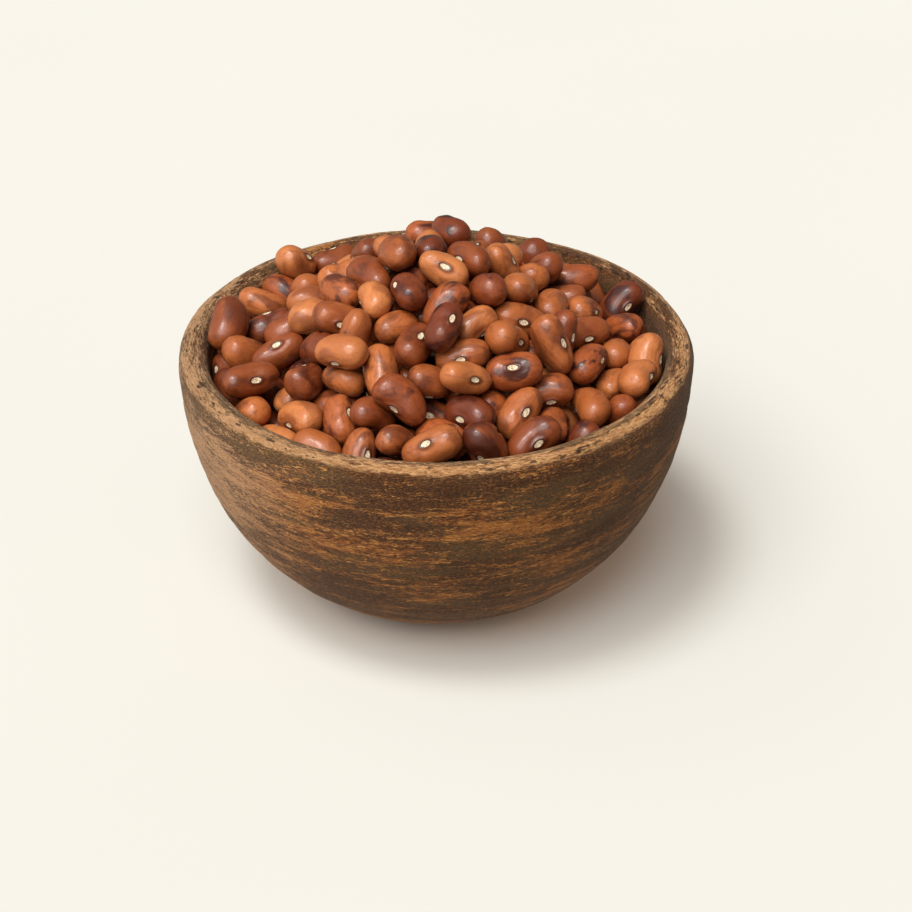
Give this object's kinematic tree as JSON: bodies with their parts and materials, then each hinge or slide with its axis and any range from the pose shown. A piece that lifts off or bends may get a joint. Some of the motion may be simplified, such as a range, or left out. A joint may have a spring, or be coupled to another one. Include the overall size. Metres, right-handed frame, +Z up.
{
  "type": "bowl of dried beans",
  "caption": "Round-sided turned wooden bowl with a thick rounded rim and a small flat foot, heaped above its rim with plump dried beans.",
  "frame": {"origin": "on the surface the bowl stands on, under the middle of its foot", "axes": "+Z up along the bowl's turning axis, through the middle of the foot and the mouth"},
  "size_m": [0.13, 0.13, 0.0937],
  "materials": {
    "bowl_wood": "dark, worn, streaked along the turning",
    "bean_skin": "satin red-brown seed coat with a pale hilum"
  },
  "bodies": {
    "root": {"bowl": "bowl_wood", "bean_heap": "bean_skin"}
  },
  "joints": []
}
